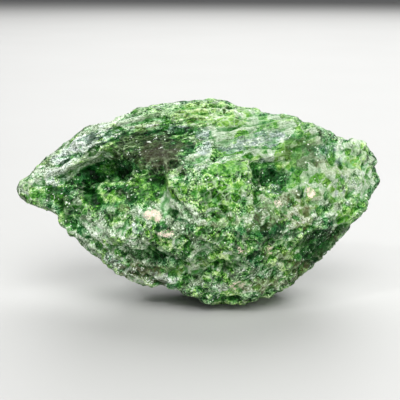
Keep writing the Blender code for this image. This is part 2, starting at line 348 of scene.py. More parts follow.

# %% [markdown]
# ## Markings
#
# Each marking is an oval on the shown face: its middle (u, v), its half length, its half width, the angle
# that it rises to the right, and how strong it is. They were placed one at a time. A ragged edge of
# noise hides that they are ovals. Every kind of marking becomes one number per vertex, which the material
# reads later, so the same map can steer both the relief and the colour.
#
# The first kind is sugary pale grain. It lies on the left rim band, on the flanks and at the right end. A
# few pale ovals, on the lip of the hollow and beside the block, are painted light that lifts walls in shade.

# %% Pale grain
PALE_OVALS = (
    (-30.9, 10.6, 11.1, 3.6, 31, 0.95),   # left rim band
    (-41.6, 2.9, 3.2, 2.4, 0, 0.8),       # left tip
    (-22.5, 17.9, 7.6, 2.1, 14, 0.85),    # left of the crest
    (-16.5, 18.0, 8.0, 0.7, 10, 0.9),     # line above the brown cleavage
    (10.8, 20.2, 9.6, 1.9, -10, 0.55),    # right of the crown
    (15.0, 16.0, 13.0, 3.5, -4, 0.7),     # upper right
    (-23.0, -9.0, 7.1, 5.2, -28, 1.0),    # left flank
    (-9.7, -3.7, 6.5, 3.2, -8, 0.8),      # below the middle glass
    (-14.0, -13.0, 9.0, 4.0, -20, 0.4),   # above the left foot
    (3.0, -13.0, 10.0, 5.5, 0, 0.45),     # lower middle
    (20.0, -16.5, 6.5, 4.0, 35, 0.4),     # lower right
    (-12.0, -18.4, 6.2, 1.7, -14, 0.35),  # left foot
    (8.6, 10.1, 9.0, 0.6, 17, 0.9),       # shelf line
    (5.5, 0.0, 6.4, 3.9, 0, 0.1),         # mesh on the block
    (27.8, 5.7, 7.6, 4.8, -10, 0.5),      # right of the recess
    (33.1, 11.5, 0.7, 2.9, -6, 0.8),      # edge of the right lump
    (37.3, 11.4, 4.2, 4.0, -10, 1.0),     # right lump
    (38.8, 4.4, 4.6, 4.0, -25, 0.85),     # right end
    (26.5, -0.5, 8.5, 4.6, 10, 0.7),      # left of the right end
    (14.0, -3.0, 6.0, 4.0, 0, 0.35),      # middle of the face
    (21.2, -6.2, 6.5, 0.7, 20, 1.0),      # line above the underside
    (2.1, -20.9, 3.6, 3.1, -40, 0.5),     # middle foot
    (-11.3, 9.4, 4.8, 0.35, -37, 0.8),    # scratch below the brown cleavage
    # Pale on the lip of the hollow and beside the block is partly painted light
    (-29.5, 8.2, 7.5, 1.1, 33, 0.9),      # lip of the hollow
    (-22.8, 11.2, 4.4, 1.7, 15, 0.9),     # its right end
    (-38.3, 4.4, 2.8, 1.5, 15, 1.0),      # above the left tip
    (-30.5, 7.1, 3.0, 0.9, 38, 1.0),      # middle of the lip
    (-20.5, -2.4, 1.8, 0.9, -20, 0.7),    # below the ledge
    (-29.0, 11.6, 2.6, 0.7, 30, 0.8),     # between the cracks of the rim band
    (5.0, 18.6, 2.4, 1.0, -10, 0.8),      # under the crown
    (-6.9, 1.6, 1.4, 2.0, 0, 1.0),        # left of the block
    (-1.5, -4.0, 2.4, 1.6, -20, 0.8),     # below it
    (-29.6, -0.2, 1.4, 1.0, 0, 0.8),      # left flank
    (-17.8, -14.6, 2.0, 1.2, -35, 0.8),
    (-32.5, 6.2, 4.0, 1.1, 38, 0.7),      # lower edge of the lip
    (-24.0, 10.1, 5.0, 1.1, 12, 1.0),
    (-13.0, 19.6, 5.0, 1.2, 12, 0.8),     # on the crest
    (20.0, 13.4, 4.0, 1.2, -10, 0.8),     # right of the film above the shelf
    (34.6, 12.0, 1.5, 2.5, 0, 1.0),       # left side of the right lump
    (41.0, 8.0, 1.4, 3.6, -10, 0.9),      # its right side
    (27.6, -5.1, 1.9, 0.9, 15, 0.9),      # above the underside
    (-16.4, 4.4, 2.4, 0.9, 0, 0.9),       # strip under the hollow
    (-6.8, 1.2, 3.0, 2.8, -20, 0.9),      # above the pink grain's gap
    (-8.0, -1.4, 2.2, 2.6, 0, 1.0),       # left of that gap
    (-3.4, -2.2, 3.2, 1.3, -45, 1.0),     # right of that gap
    (3.6, -3.6, 3.0, 1.9, 0, 0.8),        # foot of the block
    (-0.5, 9.9, 3.2, 1.6, 15, 1.0),       # left end of the shelf
    (11.6, 11.2, 1.8, 1.0, 0, 0.7),       # right end of the shelf
    (5.5, 13.8, 5.0, 1.4, 10, 0.5),       # above the shelf
    (6.6, 17.3, 2.2, 1.3, 0, 1.0),        # crumbs under the crown
    (17.5, 10.2, 4.0, 1.4, -20, 1.0),     # rim of the recess
    (11.6, 7.2, 1.3, 1.7, 0, 0.8),        # its left side
    (35.5, 8.4, 1.9, 1.1, 0, 0.6),        # between the right lump and the right end
    (34.2, -4.6, 2.6, 2.4, 40, 0.8),      # below the right end
    (40.4, 2.6, 1.9, 2.8, -20, 1.0),      # edge of the right end
    (4.4, 0.8, 1.3, 1.6, 0, 0.8),         # front of the block
    (9.2, 0.7, 1.4, 1.5, 0, 0.8),         # right of it
    (14.0, 1.2, 1.1, 1.3, 0, 0.8),
    (22.5, -12.5, 2.4, 1.8, -40, 0.8),    # beside the underside
    (9.5, -15.6, 2.4, 0.8, -10, 0.8),     # lower face
    (-18.3, -6.3, 2.8, 1.6, -10, 0.9),    # clumps on the left flank
    (-14.4, -6.2, 1.4, 1.6, 0, 0.8),
    (-23.8, -6.6, 2.6, 2.2, -60, 0.8),
    (-12.2, -11.8, 3.4, 1.1, -38, 0.8),
    (1.3, -11.0, 1.4, 1.4, 0, 0.8),       # clumps on the lower face
    (-5.4, -11.6, 1.1, 1.9, 0, 1.0),
    (20.4, -14.0, 2.6, 1.8, -30, 1.0),
    (0.0, -15.6, 1.9, 1.4, 0, 1.0),
    (-2.0, -16.4, 5.5, 1.2, 8, 0.7),      # clumps along the foot
    (12.5, -21.0, 4.5, 1.1, 8, 0.6),
    (-15.8, -19.2, 1.8, 1.0, -15, 1.0),
)
print("Ovals of pale:", len(PALE_OVALS))

# %% [markdown]
# Next come the dark places: the hollow at the left and the recess in the middle, the cracks, slots and
# pits, and the underside that turns away to the right. Part of this is the rock's own dark glass, and part
# is painted shade where the hollow, the recess and the underside lie in shade.

# %% Dark glass and painted shade
DARK_GLASS_AND_SHADE_OVALS = (
    (-24.4, 12.8, 4.4, 0.55, 27, 0.9),    # cracks in the rim band
    (-24.3, 14.6, 2.8, 0.4, 30, 0.6),
    (-26.6, 15.5, 3.2, 0.6, 30, 0.7),
    (-20.0, 14.9, 3.8, 0.5, 25, 0.7),
    (-32.5, 9.3, 3.0, 0.35, 34, 0.7),
    (-26.2, 14.6, 1.7, 1.2, 30, 0.8),     # dark film in the rim band
    (-25.5, 11.3, 1.7, 0.7, 28, 0.8),
    (-20.6, 16.4, 2.4, 0.8, 20, 0.6),
    (15.6, 11.8, 1.7, 0.9, 0, 0.5),       # above the recess
    (-4.4, 3.8, 1.4, 1.0, 0, 0.5),        # left of the block
    (7.0, -1.0, 1.2, 0.9, 0, 0.5),        # in the block
    (9.2, -7.0, 1.2, 1.0, 0, 0.6),        # lower face
    (26.2, -6.8, 1.5, 0.8, 0, 0.8),       # above the underside
    (-28.0, -7.4, 2.2, 1.0, -40, 0.6),    # left edge
    (3.0, -19.2, 2.2, 0.8, 0, 0.6),       # middle foot
    (-9.5, -17.6, 2.0, 0.8, 0, 0.6),      # left foot
    (-11.8, 13.6, 2.2, 1.2, 8, 0.5),      # in the brown cleavage
    (-1.0, 16.2, 1.6, 0.7, 0, 0.6),       # above the grey spot
    (11.0, 2.8, 1.2, 1.0, 0, 0.5),        # right side of the block
    (-34.0, 2.3, 2.6, 1.1, -10, 0.8),     # below the rim band
    (-18.5, 12.0, 3.0, 2.0, 14, 0.3),     # green end of the brown cleavage
    (-32.2, -0.5, 6.2, 1.9, -32, 0.65),   # left flank
    (-31.5, -5.3, 2.2, 1.2, -40, 0.6),    # left edge
    # The hollow: partly dark glass, partly painted shade
    (-22.9, 6.9, 8.1, 1.9, 12, 0.8),      # roof of the hollow
    (-24.6, 6.8, 8.2, 2.3, 14, 0.8),      # the hollow
    (-26.9, 6.0, 2.4, 1.4, -25, 1.0),     # blackest parts of the hollow
    (-18.2, 6.5, 2.8, 1.6, 0, 1.0),
    (-26.2, 0.8, 2.7, 1.8, -50, 1.0),     # hole below the hollow
    (-19.0, 2.8, 3.9, 0.9, 3, 0.9),       # strip on the ledge
    (-16.2, 0.5, 1.7, 1.5, 0, 0.9),       # blue spot on the ledge
    (-21.0, 5.2, 1.6, 1.1, 0, 0.9),       # gap behind the ledge
    (-20.8, 1.9, 1.7, 1.0, 0, 1.0),       # dark glass on the ledge
    (-17.2, 1.8, 1.4, 0.9, 0, 0.8),
    (-13.3, 1.6, 1.3, 1.0, 0, 0.6),
    (-23.6, -11.8, 2.2, 1.3, -40, 0.4),   # left flank
    (-15.0, 7.6, 2.2, 1.6, 0, 0.7),       # right end of the hollow
    (-20.0, -4.0, 1.6, 1.2, 0, 0.7),      # below the ledge
    (-11.6, 4.7, 3.4, 1.9, -5, 0.5),      # right of the hollow
    (-9.6, 1.4, 1.0, 1.0, 0, 0.6),        # below it
    (-6.2, -2.9, 1.6, 0.9, -20, 0.9),     # gap beside the pink grain
    (-10.0, -13.4, 6.2, 2.1, -8, 0.3),    # lumps above the left foot
    (-13.4, -16.3, 4.8, 0.6, -6, 0.6),    # slot in the left foot
    (-15.2, -17.4, 4.6, 0.9, -18, 0.8),   # above the tip of the left foot
    (-20.0, -12.2, 2.2, 1.0, -30, 0.6),   # left flank
    (-39.0, 1.1, 2.4, 1.1, -10, 0.7),     # left tip
    (-8.0, 17.9, 2.2, 0.8, 5, 0.6),       # crest
    (1.8, 4.6, 1.2, 0.8, 0, 0.7),         # pit in the block
    (12.5, 15.6, 3.0, 1.1, 5, 0.35),      # film above the shelf
    (8.2, -13.6, 1.6, 1.2, 0, 0.6),       # lower face
    (4.2, -9.0, 1.6, 0.8, 0, 0.6),
    (-12.0, 16.4, 8.0, 0.5, 7, 0.8),      # crack under the crest
    (-0.2, 14.7, 1.1, 1.1, 0, 0.4),       # pit in the grey spot
    (-2.0, 17.0, 2.0, 0.8, 0, 0.8),       # pits near the grey spot
    (-3.0, 12.6, 2.0, 1.7, 0, 0.7),
    (-5.8, 16.4, 2.4, 1.1, 5, 1.0),
    (9.0, 19.4, 1.6, 0.9, 0, 0.5),        # pit in the crown
    (1.3, 1.0, 1.4, 1.8, 0, 1.0),         # pit in the block
    (6.0, 5.3, 2.8, 0.5, 0, 0.5),         # line under the block's top
    (17.6, 1.6, 1.2, 1.6, 0, 0.5),        # below the recess
    (-8.7, -6.0, 1.3, 1.1, 0, 0.7),       # gaps between the pink grains
    (-4.4, -5.4, 2.2, 0.9, 0, 0.6),
    (-7.5, -8.7, 1.5, 0.8, 0, 0.5),
    (-2.4, -10.8, 3.6, 1.0, 62, 0.7),     # slots on the lower face
    (12.8, -5.6, 2.5, 1.0, 75, 0.8),
    (7.2, -10.2, 3.0, 1.5, -15, 0.5),
    (12.8, -7.2, 2.1, 1.1, 0, 0.9),
    (14.9, -9.3, 1.6, 0.9, 0, 0.9),
    (21.6, -7.8, 2.4, 0.8, 15, 0.6),
    (13.4, -13.4, 2.3, 1.8, 0, 0.9),
    (22.3, -17.0, 1.3, 1.6, 0, 0.4),
    (23.4, 1.6, 1.1, 1.6, 0, 0.9),        # beside the right pink grain
    (25.5, -2.7, 2.2, 1.0, 0, 0.7),
    (24.5, 11.0, 4.5, 3.2, -15, 0.5),     # olive glass beside the recess
    (4.5, -23.6, 3.2, 1.0, 8, 0.8),       # under the middle foot
    (-9.5, -20.0, 3.4, 0.9, -12, 0.8),    # under the left foot
    # The recess and the underside: partly dark glass, partly painted shade
    (15.8, 5.9, 4.4, 2.8, 5, 0.5),        # middle recess
    (15.4, 5.9, 3.2, 2.1, 5, 0.9),        # its core
    (28.2, -11.2, 7.5, 3.8, 40, 0.88),    # right underside
    (31.6, -5.0, 2.4, 1.4, 10, 0.7),      # above its upper end
    (33.5, -7.9, 3.0, 1.5, 40, 0.88),     # its upper end
    (16.3, -7.3, 3.4, 1.8, 12, 0.9),      # pit below the middle
    (21.9, -11.8, 4.3, 3.3, 0, 0.2),      # below the pit
    (5.5, -15.3, 3.2, 1.3, 0, 0.6),       # green glass near the foot
    (8.6, -23.8, 1.9, 1.0, 0, 0.8),       # green glass in the foot
    (37.3, -5.9, 2.4, 0.9, 40, 0.7),      # right lower edge
)
print("Ovals of deep:", len(DARK_GLASS_AND_SHADE_OVALS))

# %% [markdown]
# Then the brighter crystals: the block in the middle, the crown, the two ends and many small clumps. Part of
# this is their own paler green, and part is painted light, which lifts the top and walls that the stone's own
# shape leaves in shade.

# %% Brighter crystals and painted light
# Partly the crystals' own brighter green, partly painted light on places in shade
GLOW_AND_PAINTED_LIGHT_OVALS = (
    (-40.6, 1.8, 3.4, 2.1, -10, 1.0),     # left tip
    (-30.5, 7.2, 5.5, 0.9, 33, 0.5),      # wall under the rim band
    (-22.5, 11.0, 4.0, 1.4, 15, 0.4),
    (-8.0, -1.2, 2.2, 2.4, 0, 0.6),       # left of the pink grain's gap
    (-7.3, 21.4, 8.7, 2.2, 6, 0.5),       # crest
    (6.0, 21.3, 8.7, 2.9, -4, 0.85),      # crown
    (-1.5, 22.5, 4.0, 1.5, 0, 0.7),       # its left end
    (-22.4, 8.0, 1.5, 2.0, 10, 0.9),      # light in the hollow
    (-41.6, 3.2, 2.3, 2.0, 0, 1.0),       # left tip
    (40.3, 2.3, 1.9, 2.2, -20, 0.9),      # edge of the right end
    (-7.0, 2.3, 1.4, 2.4, 0, 1.0),        # right of the middle glass
    (-30.5, 7.1, 3.0, 0.9, 38, 0.8),      # middle of the lip
    (-11.8, 6.2, 2.0, 1.0, 0, 0.7),       # above the middle glass
    (-20.5, -2.4, 1.8, 0.9, -20, 0.7),    # below the ledge
    (7.5, -5.0, 1.5, 1.0, 0, 0.8),        # below the block
    (12.6, 5.4, 1.2, 1.8, 0, 0.7),        # left side of the recess
    (35.0, 12.0, 1.7, 1.8, 0, 1.0),       # left side of the right lump
    (32.0, 0.8, 2.4, 1.6, 0, 0.6),        # right end
    (-29.0, 11.6, 2.6, 0.7, 30, 0.7),     # between the cracks of the rim band
    (-29.6, -0.2, 1.3, 0.9, 0, 0.8),      # left flank
    (-17.5, 3.6, 3.4, 0.8, 0, 0.4),       # strip under the hollow
    (15.2, -11.0, 1.6, 1.2, 0, 0.8),      # lower face
    (23.2, -6.9, 1.7, 0.9, 20, 0.8),      # line above the underside
    (19.6, 8.1, 1.7, 2.3, 0, 1.0),        # right side of the recess
    (17.8, -9.6, 1.6, 1.2, 0, 0.7),       # below the pit
    (0.0, -17.6, 4.5, 1.0, -20, 0.8),     # above the middle foot
    (1.2, -11.0, 1.5, 1.4, 0, 0.9),       # lower face
    (24.5, -12.0, 1.6, 2.4, -30, 0.6),
    (-3.2, -2.0, 2.6, 1.3, -45, 0.8),     # right of the pink grain's gap
    (-21.9, 4.8, 2.0, 0.7, 10, 0.8),      # lip of the ledge
    (-20.5, 0.8, 3.2, 1.5, -8, 0.8),      # ledge below the hollow
    (-18.9, -3.5, 2.4, 1.2, 0, 0.4),      # foot of the ledge
    (-32.0, 6.4, 4.6, 1.0, 36, 0.6),      # lower edge of the lip
    (-23.6, 10.0, 5.5, 1.0, 13, 0.8),
    (-38.3, 4.4, 2.4, 1.2, 15, 0.8),      # above the left tip
    (-12.8, 19.6, 4.6, 1.0, 12, 0.6),     # crest
    (-2.4, 19.6, 3.4, 1.4, 5, 0.7),
    (6.5, 17.3, 2.1, 1.3, 0, 0.9),        # crumbs under the crown
    (14.6, 19.4, 3.0, 1.0, -10, 0.7),     # upper right
    (20.0, 13.4, 3.4, 1.0, -10, 0.7),
    (-0.8, 9.6, 2.7, 1.2, 15, 0.8),       # left end of the shelf
    (15.5, 9.8, 4.6, 1.0, -10, 0.7),      # rim of the recess
    (11.6, 7.2, 1.2, 1.5, 0, 0.7),
    (35.8, 8.7, 2.0, 1.3, 0, 0.8),        # under the right lump
    (41.0, 6.0, 1.5, 4.4, -10, 0.9),      # right edge
    (34.2, -4.7, 2.2, 1.6, 30, 0.9),      # below the right end
    (4.2, 0.9, 1.2, 1.6, 0, 1.0),         # front of the block
    (3.6, -3.8, 2.5, 1.4, 0, 0.9),
    (9.3, 0.8, 1.6, 1.4, 0, 0.8),
    (20.4, -14.0, 2.4, 1.6, -30, 0.9),    # clumps on the lower face
    (5.0, -13.8, 1.8, 1.2, 0, 0.8),
    (0.0, -15.4, 2.0, 1.5, 0, 0.8),
    (-2.6, -16.5, 5.0, 1.1, 8, 0.8),
    (-15.6, -19.4, 2.0, 1.0, -15, 0.9),   # tip of the left foot
    (10.0, -20.0, 1.3, 1.0, 0, 0.7),      # right of the middle foot
    (14.5, -20.5, 2.2, 0.8, 8, 0.8),
    (-12.3, -11.8, 3.3, 1.1, -38, 0.8),   # clumps on the left flank
    (-18.3, -6.3, 2.8, 1.4, -10, 0.8),
    (-14.6, -6.0, 1.3, 1.8, 0, 0.7),
    (-24.4, -5.6, 2.8, 1.3, -55, 0.8),
    (-29.0, -1.9, 2.7, 1.2, -30, 0.7),
    (13.2, 11.0, 2.0, 0.6, 15, 1.0),      # streak on the shelf
    (6.5, 7.4, 5.1, 1.6, 6, 0.6),         # top of the block
    (4.6, 2.4, 5.6, 4.4, 0, 0.9),         # the block
    (-5.5, 2.0, 2.4, 1.6, 0, 0.8),        # its left neighbour
    (37.3, 11.4, 4.6, 4.2, -10, 1.0),     # right lump
    (35.0, -3.4, 3.6, 2.6, 40, 0.6),      # below the right end
)
print("Ovals of glow:", len(GLOW_AND_PAINTED_LIGHT_OVALS))

# %% [markdown]
# Some of those crystals are a yellower green than the rest. That is a marking of its own, because a colour
# can change where the brightness doesn't.

# %% Leaf green
LEAF_OVALS = (
    (4.6, 3.2, 4.2, 3.2, 0, 1.0),         # yellow-green front of the block
    (-5.5, 1.8, 2.6, 1.8, 0, 0.9),        # its left neighbour
    (-1.5, 21.8, 4.0, 2.4, 0, 0.9),       # crown
    (6.0, 19.8, 5.0, 2.2, 0, 0.7),
    (38.0, 11.4, 3.0, 2.6, 0, 0.75),      # right lump
    (19.4, 9.6, 2.0, 2.8, 0, 1.0),        # right of the recess
    (11.0, 6.6, 1.5, 1.5, 0, 0.9),        # top of the block
    (-16.2, 4.3, 2.3, 0.9, 0, 0.9),       # strip under the hollow
    (-33.2, -0.4, 3.4, 1.5, -25, 0.9),    # left flank
    (39.0, 10.6, 2.2, 3.0, 0, 0.95),      # right side of the right lump
    (25.0, 5.5, 3.4, 1.6, 0, 0.6),        # right of the recess
    (22.4, 12.8, 1.5, 1.2, 0, 0.7),
    (16.0, 17.5, 2.2, 1.0, -5, 0.6),      # upper right
    (6.5, 0.4, 3.4, 1.4, 20, 0.9),        # foot of the block
    (0.4, -7.6, 1.6, 1.4, 0, 0.7),
    (23.2, -6.4, 2.0, 1.1, 0, 0.6),       # line above the underside
    (25.0, -9.8, 2.0, 1.6, 0, 0.6),
    (4.0, -14.4, 4.2, 1.8, 0, 0.8),       # lower face
    (-5.5, -11.6, 1.6, 1.8, 0, 0.5),
    (-20.4, -9.8, 2.6, 1.3, 0, 0.9),      # left flank
    (-20.2, 1.2, 2.8, 1.5, 0, 0.8),       # ledge
    (-20.6, -4.4, 2.8, 1.5, 0, 0.7),      # below the ledge
    (34.6, -3.8, 2.8, 2.0, 40, 0.8),      # below the right end
    (-41.6, 1.9, 3.2, 2.2, 0, 0.35),      # left tip
    (-22.6, 7.6, 2.8, 1.3, 10, 0.8),      # glass in the hollow
    (8.0, -16.4, 4.6, 2.6, 0, 0.5),       # lower face
    (20.4, -14.0, 2.4, 1.8, -30, 0.5),
    (1.2, -9.0, 1.6, 1.6, 0, 0.5),
)
print("Ovals of leaf:", len(LEAF_OVALS))

# %% [markdown]
# One large cleavage face is olive brown, and its reddest part is almost sooty. The same sooty black lies
# along the edge of the underside, where it is painted shade.

# %% The brown cleavage, its soot and painted shade on the underside
BROWN_OVALS = (
    (-12.4, 12.6, 8.6, 4.0, 7, 1.0),      # the brown cleavage
    (-9.2, 9.8, 5.4, 4.0, -25, 1.0),      # its lower right
    (-18.3, 12.8, 3.8, 2.4, 14, 0.4),     # its olive corner
)
SOOTY_AND_SHADE_OVALS = (
    (-9.5, 10.3, 4.6, 2.6, -22, 0.9),     # reddest part of the brown cleavage
    (-5.0, 12.6, 2.4, 1.3, 10, 0.6),
    # Painted shade along the underside's edge
    (31.6, -11.0, 4.2, 1.4, 40, 0.6),     # edge of the underside
)
print("Ovals of brown, sooty:", len(BROWN_OVALS), len(SOOTY_AND_SHADE_OVALS))

# %% [markdown]
# A thin cool grey film covers the left rim band, the shelf and a few spots. Layered parts of it get a
# painted silver sheen.

# %% Grey film
GREY_OVALS = (
    (-28.7, 12.9, 8.6, 2.4, 31, 0.95),    # film on the rim band
    (-34.5, 6.8, 4.8, 1.6, 36, 0.7),      # its lower end
    (-20.0, 18.3, 6.0, 1.2, 14, 0.4),     # left of the crest
    (-33.5, 4.6, 2.4, 1.2, 30, 0.7),      # lower end of the lip
    (-14.5, -6.2, 1.5, 1.6, 0, 1.0),      # clump on the left flank
    (-20.8, -14.8, 4.6, 1.4, -38, 1.0),   # left lower edge
    (-22.5, 14.4, 2.6, 1.1, 28, 0.8),     # in the rim band
    (12.8, -1.9, 1.3, 1.0, 0, 0.7),       # middle of the face
    (7.6, -1.4, 1.2, 0.8, 0, 0.5),
    (36.0, -0.6, 1.6, 1.2, 0, 0.6),       # right end
    (14.2, 9.0, 1.6, 1.0, 0, 0.6),        # rim of the recess
    (33.2, 2.8, 2.0, 1.6, 0, 0.6),        # right end
    (31.0, 12.0, 1.8, 2.2, 0, 0.6),       # left of the right lump
    (-5.5, 17.0, 3.0, 1.0, 0, 1.0),       # crest
    (0.0, 7.6, 2.0, 1.5, 0, 0.5),         # above the block
    (-14.0, 17.4, 7.0, 0.8, 8, 0.5),      # line above the brown cleavage
    (-12.0, -18.2, 6.7, 1.9, -14, 0.8),   # left foot
    (-22.0, -11.0, 4.5, 2.5, -35, 0.35),  # left flank
    (0.7, 15.7, 1.9, 2.1, 0, 0.9),        # grey spot
    (14.8, 14.6, 5.7, 1.8, 8, 0.8),       # film above the shelf
    (0.8, 12.6, 2.2, 1.6, 0, 0.9),        # film left of the shelf
    (17.3, 2.7, 1.7, 1.4, 0, 0.8),        # foot of the recess
    (8.8, 12.4, 4.2, 1.2, 10, 0.9),       # film on the shelf
    (16.8, 13.9, 2.8, 1.6, 0, 1.0),
    (35.0, 4.0, 4.0, 2.4, 0, 0.45),       # film on the right end
    (28.5, 11.4, 3.6, 2.8, -20, 0.35),    # film beside the right lump
    (33.4, 9.1, 1.2, 1.2, 0, 0.8),        # spot beside the right lump
    (2.1, -20.9, 3.6, 3.1, -40, 0.4),     # middle foot
    (11.4, -4.1, 3.9, 3.4, 0, 0.35),      # middle of the face
)
print("Ovals of grey:", len(GREY_OVALS))

# %% [markdown]
# A few pinkish grains of another mineral sit in the green, and weak rusty stains lie around them.

# %% Pink grains and rusty tint
PINK_OVALS = (
    (25.9, 1.6, 1.2, 1.3, 0, 1.0),
    (17.8, -0.9, 1.3, 0.8, -30, 0.55),
    (-11.0, -3.6, 2.0, 1.3, -10, 1.0),
    (-7.8, -7.6, 1.8, 0.7, 8, 0.8),
    (9.4, -11.5, 0.9, 0.9, 0, 0.6),
    (16.2, -11.7, 0.7, 1.1, 0, 0.8),
    (8.8, -20.4, 1.7, 1.0, 15, 0.8),
)
TINT_OVALS = (
    (4.0, 19.8, 8.0, 3.0, -5, 0.2),       # crown
    (23.0, 11.0, 5.0, 3.2, -15, 0.2),     # olive glass beside the recess
    (31.5, 7.6, 4.5, 1.6, -10, 0.35),     # right of the recess
    (14.0, -3.5, 5.0, 3.0, 10, 0.3),      # middle of the face
    (5.5, -5.0, 5.0, 1.6, 0, 0.35),       # under the block
    (24.0, -5.0, 3.2, 1.6, 10, 0.5),      # left of the right end
    (-7.5, -17.0, 4.0, 1.2, 0, 0.35),     # right of the left foot
    (26.0, 14.0, 2.6, 1.6, 0, 0.3),       # upper right
    (36.5, 8.3, 2.0, 1.1, 0, 0.4),        # under the right lump
    (21.2, 0.5, 3.0, 1.5, 20, 0.4),       # left of the right pink grain
    (13.5, 0.5, 2.0, 1.1, 0, 0.3),
    (15.5, -12.0, 1.6, 1.3, 0, 0.3),      # lower face
    (20.4, -14.0, 2.6, 1.8, -30, 0.3),
    (0.0, -15.6, 1.9, 1.4, 0, 0.3),
    (24.5, -1.2, 6.0, 1.8, 28, 0.5),      # left of the right end
    (33.0, 1.5, 4.5, 3.5, 0, 0.2),        # right end
    (14.7, -20.1, 7.1, 1.9, 8, 0.4),      # lower right
    (24.4, -17.3, 2.7, 2.4, 40, 0.3),
    (-14.0, -17.6, 7.0, 2.4, -14, 0.35),  # left foot
    (-13.0, 17.5, 3.6, 1.0, 8, 0.4),      # crack under the crest
    (-18.0, -1.8, 1.7, 1.0, 0, 0.4),      # foot of the ledge
)
print("Ovals of pink, tint:", len(PINK_OVALS), len(TINT_OVALS))

# %% [markdown]
# The last three kinds say how the rock broke. Glass is clear and smooth, calm faces vary less in tone and
# relief, and layers split into thin shelves.

# %% Clear glass, calm faces and layers
GLASS_OVALS = (
    (-11.1, 4.2, 4.0, 2.8, 0, 0.8),       # right of the hollow
    (-12.0, 1.6, 3.6, 1.4, 0, 0.7),       # below it
    (-22.0, 1.0, 6.0, 4.0, -10, 0.7),     # ledge below the hollow
    (-31.0, -2.0, 6.5, 3.0, -32, 0.5),    # left flank
    (-24.0, 7.5, 8.0, 2.7, 12, 0.5),      # in the hollow
    (6.5, 7.4, 5.1, 1.6, 6, 0.7),         # top of the block
    (22.9, 11.8, 4.3, 4.0, -15, 0.6),     # olive glass beside the recess
    (-12.5, 12.9, 11.0, 4.2, 6, 0.6),     # brown cleavage
)
CALM_OVALS = (
    (14.0, 15.5, 15.0, 5.5, 2, 1.0),      # upper right
    (28.0, 6.0, 9.0, 9.0, -10, 1.0),      # right of the recess
    (38.5, 1.5, 6.0, 6.5, 0, 0.65),       # right end
    (15.0, -3.0, 6.5, 5.0, 0, 0.6),       # middle of the face
    (6.5, 7.4, 5.1, 1.6, 6, 0.9),         # top of the block
    (5.0, 0.9, 5.9, 4.1, 0, 0.4),         # the block
    (37.3, 11.4, 4.6, 4.2, -10, 0.4),     # right lump
    (34.4, -4.8, 2.2, 1.9, 0, 1.0),       # below the right end
    (-7.8, -0.6, 2.2, 3.0, 0, 0.8),       # left of the pink grain's gap
)
LAYERS_OVALS = (
    (-30.0, 10.6, 13.0, 4.5, 31, 0.7),    # left rim band
    (-12.0, 16.0, 18.0, 8.0, 10, 0.9),    # crest and brown cleavage
    (14.0, 15.0, 17.0, 7.0, 2, 0.75),     # upper right
    (-32.0, -1.0, 9.0, 4.0, -32, 0.6),    # left tip
    (-12.0, 4.0, 6.0, 3.5, 0, 0.6),       # right of the hollow
)
print("Ovals of glass, calm, layers:", len(GLASS_OVALS), len(CALM_OVALS), len(LAYERS_OVALS))

# %% [markdown]
# ## From ovals to numbers
#
# Where ovals of one kind overlap, the strongest one counts. They mark only the shown side, and fade out
# where the stone turns away. On the back the rock carries on with the same minerals, laid out by slow noise
# alone. The shown side gets a quarter of that noise, so that the two sides pass into each other.

# %% Numbers for every vertex
MARKINGS = {
    "pale": PALE_OVALS,
    "deep": DARK_GLASS_AND_SHADE_OVALS,
    "glow": GLOW_AND_PAINTED_LIGHT_OVALS,
    "leaf": LEAF_OVALS,
    "brown": BROWN_OVALS,
    "sooty_and_shade": SOOTY_AND_SHADE_OVALS,
    "grey": GREY_OVALS,
    "pink": PINK_OVALS,
    "tint": TINT_OVALS,
    "glass": GLASS_OVALS,
    "calm": CALM_OVALS,
    "layers": LAYERS_OVALS,
}
RAGGED_SIZE = 2.2
RAGGED_DEPTH = 0.45
SOFT_RIM = 0.2
SHOWN_FADE = 1.5
NOISE_OCTAVES = 3


def smooth_step(low, high, value):
    """0 below low, 1 above high and an even S between them."""
    share = np.clip((value - low) / (high - low), 0.0, 1.0)
    return share * share * (3.0 - 2.0 * share)


def slow_noise(rows, size, offset=0.0):
    """Smooth noise of about -1 to 1, whose lumps are size millimetres across."""
    return np.array([noise.fractal(Vector(row), 1.0, 2.0, NOISE_OCTAVES) for row in rows / size + offset])


u, v, w = on_axes(place, face_axes).T
ragged = RAGGED_DEPTH * slow_noise(place, RAGGED_SIZE)
shown = smooth_step(-SHOWN_FADE, SHOWN_FADE, w)


def oval(middle_u, middle_v, half_length, half_width, turn, strength):
    """How strongly one ragged oval marks each vertex."""
    cosine, sine = math.cos(math.radians(turn)), math.sin(math.radians(turn))
    along = ((u - middle_u) * cosine + (v - middle_v) * sine) / half_length
    across = ((v - middle_v) * cosine - (u - middle_u) * sine) / half_width
    reach = np.hypot(along, across) + ragged
    return strength * shown * smooth_step(1.0 + SOFT_RIM, 1.0 - SOFT_RIM, reach)


marks = {}
for kind, ovals in MARKINGS.items():
    marks[kind] = np.max([oval(*one) for one in ovals], axis=0)
print("Vertices on the shown side:", int((shown > 0.5).sum()), "of", len(shown))

# %% Minerals laid out by noise
# Each kind's lump size in millimetres, its place in the noise, the noise where it starts and where it is
# full, and how strong it is then
BACKGROUND = {
    "pale": (11.0, 11.0, -0.15, 0.4, 0.85),
    "deep": (6.5, 23.0, 0.1, 0.5, 0.8),
    "glow": (8.5, 37.0, 0.0, 0.45, 0.8),
    "grey": (12.0, 53.0, 0.1, 0.8, 0.5),
    "tint": (8.0, 71.0, 0.35, 0.9, 0.5),
    "glass": (5.0, 91.0, 0.0, 0.5, 0.9),
}
WEAKER_ON_SHOWN = 0.75
BACK_LAYERS = 0.6
BACK_LAYERS_FADE = 5.0
GLOW_WINS = 0.3

